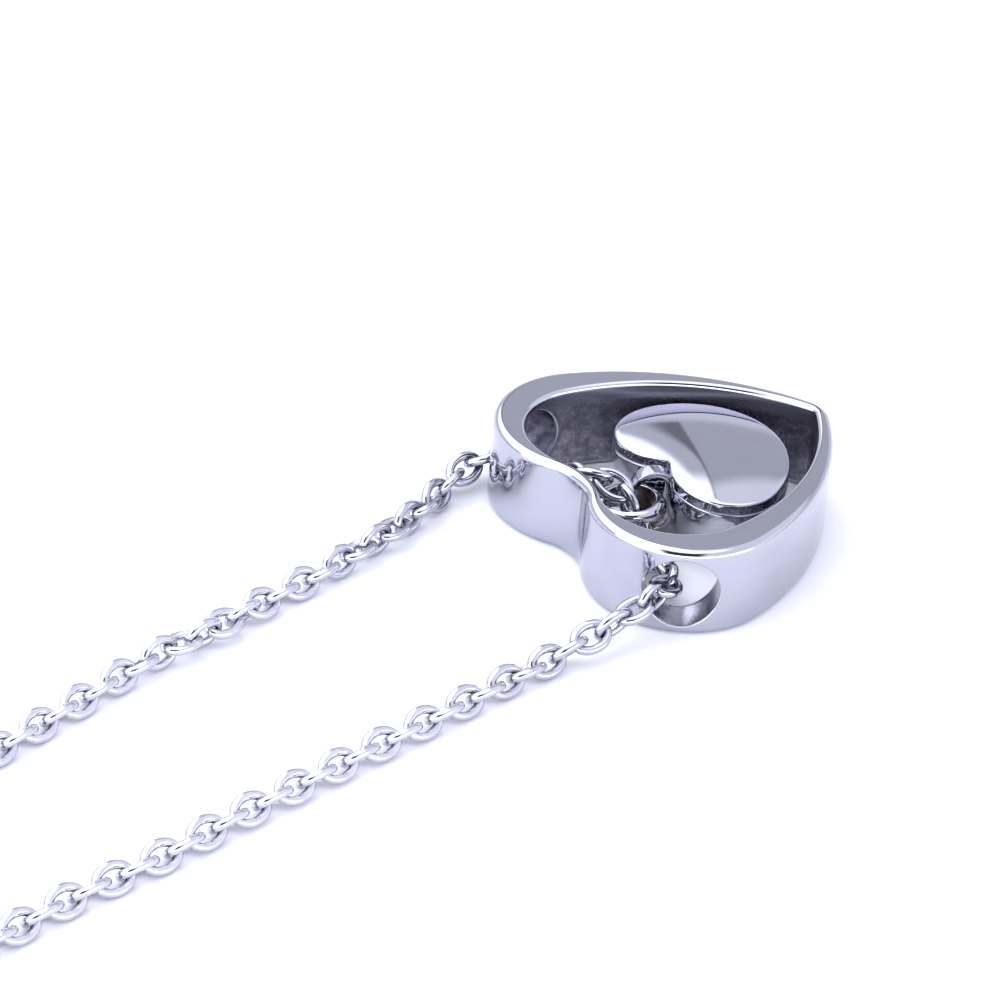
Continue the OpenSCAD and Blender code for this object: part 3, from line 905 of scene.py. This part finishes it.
studio = {
    "floorSize": 6.0,
    "floorGlow": (0.80, 0.82, 1.0),
    "floorStrength": 0.04,
    "floorTint": (0.75, 0.755, 0.76),
    "floorTooth": (900.0, 0.98),  # scale of the paper's noise and its lowest tone
    "floorRough": 0.9,
    "tint": (1.08, 1.09, 1.285),
}
dome = {  # brightness by direction; At gives the degrees, or the direction's height, over which it changes
    "wall": 0.95,
    "wallFall": 0.30,
    "wallFallAt": (19.0, 24.0),
    "wallRise": 0.50,
    "wallRiseAt": (51.0, 58.0),
    "wallLean": 0.6,
    "screenFoot": 25.7,  # the screen's border bends with the height above this elevation
    "borderSlope": 0.076,
    "borderBend": 0.0057,
    "borderShift": 2.4,
    "borderAt": (-0.15, 0.3),
    "screenLowAt": (21.5, 23.5),
    "screen": 0.27,
    "screenRise": 0.50,
    "fade": 5.0,  # degrees from the dark border to the screen's own grey
    "fadeNarrow": 4.2,
    "fadeNarrowAt": (22.0, 44.0),
    "fadeTop": 0.5,
    "fadeTopAt": (42.0, 54.0),
    "fadeFrom": 0.5,
    "fadeTo": 1.3,
    "white": 1.5,
    "cornerFoot": 59.0,
    "cornerLean": 2.6,
    "cornerAt": (-5.0, 3.0),
    "topIn": (0.4, 1.5),
    "topAt": (46.0, 54.0),
    "backAt": (-0.1, -0.3),
    "window": 4.5,
    "windowLowAt": (0.06, 0.12),
    "windowHighAt": (0.32, 0.40),
    "shadow": 0.06,
    "shadowAcross": (0.05, 0.16),
    "shadowLowAt": (0.36, 0.44),
    "overhead": 2.1,
    "overheadAt": (0.87, 0.93),
    "ground": 1.0,
    "groundAt": (-0.02, 0.10),
}


def buildFloor():
    material, shade = newMaterial("paleFloor")
    where = shade.node("ShaderNodeTexCoord", out=3)
    scale, low = studio["floorTooth"]
    tooth = shade.node("ShaderNodeTexNoise", Vector=where, Scale=scale, Detail=2.0)
    colour = shade.mix(tooth, studio["floorTint"], tuple(c * low for c in studio["floorTint"]))
    shade.surface(shade.node("ShaderNodeBsdfPrincipled", Base_Color=colour, Roughness=studio["floorRough"],
                             Emission_Color=(*studio["floorGlow"], 1), Emission_Strength=studio["floorStrength"]))
    half = studio["floorSize"] / 2
    corners = [(-half, -half, 0), (half, -half, 0), (half, half, 0), (-half, half, 0)]
    floor = meshPiece("paleFloor", corners, [(0, 1, 2, 3)], [material], smooth=False)


def buildLight():  # a studio dome by direction: pale walls, a soft box above, the dark side of the room
    world = bpy.data.worlds.new("studioDome")
    scene.world = world
    world.use_nodes = True
    shade = Shade(world.node_tree)
    where = shade.node("ShaderNodeTexCoord", out=0)

    def along(direction):
        return shade.node("ShaderNodeVectorMath", {"operation": "DOT_PRODUCT"}, out=1, _0=where, _1=direction)

    def change(value, name):  # 0 to 1 over the named range
        return value.step(*dome[name])

    height = along((0, 0, 1))
    ahead = along(lookFlat)
    right = along(rightFlat)
    lateral = right.math("ARCTAN2", ahead) * (180 / math.pi)
    elevation = height.math("ARCSINE") * (180 / math.pi)

    # far side of the room, seen by the rim and the urn's face: grey wall, paler low down and high up
    upper = elevation + lateral * dome["wallLean"]
    wall = (dome["wall"] - change(elevation, "wallFallAt") * dome["wallFall"]
            + change(upper, "wallRiseAt") * dome["wallRise"])
    # a screen to the left of the line of view: grey, dark along its border, white at its top and its left
    rise = elevation - dome["screenFoot"]
    border = rise * dome["borderSlope"] + rise * rise * dome["borderBend"] - dome["borderShift"]
    away = border - lateral
    wide = (dome["fade"] - change(elevation, "fadeNarrowAt") * dome["fadeNarrow"]
            - change(elevation, "fadeTopAt") * dome["fadeTop"])
    screen = dome["screen"] + away.step(wide * dome["fadeFrom"], wide * dome["fadeTo"]) * dome["screenRise"]
    corner = elevation - dome["cornerFoot"] - lateral * dome["cornerLean"]
    screen = (screen + change(corner, "cornerAt") * dome["white"]
              + change(away, "topIn") * change(elevation, "topAt") * dome["white"])
    room = wall + change(away, "borderAt") * change(elevation, "screenLowAt") * (screen - wall)
    # behind the camera: a bright low window, and a dark patch round the camera itself
    back = change(ahead, "backAt")
    window = back * change(height, "windowLowAt") * (1 - change(height, "windowHighAt"))
    room = room + window * (dome["window"] - room)
    shadow = back * (1 - change(right * right, "shadowAcross")) * change(height, "shadowLowAt")
    room = room + shadow * (dome["shadow"] - room)
    level = room + change(height, "overheadAt") * (dome["overhead"] - room)
    level = level + (1 - change(height, "groundAt")) * (dome["ground"] - level)
    tint = shade.node("ShaderNodeVectorMath", {"operation": "SCALE"}, _0=studio["tint"], Scale=level)
    shade.surface(shade.node("ShaderNodeBackground", Color=tint, Strength=1.0), "ShaderNodeOutputWorld")


print("camera and light")
placeCamera()
buildFloor()
buildLight()
scene.view_settings.view_transform = "Standard"

print("materials")
polished = polishedSteel()
cast = plainSteel("castSteel", mottling["castPlainFrom"])
bored = plainSteel("boredSteel")
strapSteel = plainSteel("strapSteel")
turned = plainSteel("turnedSteel")
# painted reflection: brown inner faces of the bail and the strap
inside = plainSteel("insideBrownReflection")
wire = wireSteel()

print("heart band, urn and bail")
outerHeart = buildBand(polished, cast, bored)
urnBody = buildUrn(polished, bored)
urnLoop = buildStrap(strapSteel, inside)
fillScrew = buildScrew(turned)
bailRing = buildBail(polished, inside)
claspBarrel = buildClasp(polished)

print("chain")
chainNear, chainFar = buildChain(wire)

for piece, node, slot in ((outerHeart, "outer_heart", "polished_steel"), (urnBody, "urn_heart", "polished_steel"),
                          (urnLoop, "urn_heart", "polished_steel"), (fillScrew, "fill_screw", "screw_steel"),
                          (bailRing, "bail", "polished_steel"), (claspBarrel, "clasp", "polished_steel"),
                          (chainNear, "chain_links", "chain_steel"), (chainFar, "chain_back", "chain_steel")):
    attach(piece, "root")
    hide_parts(node)
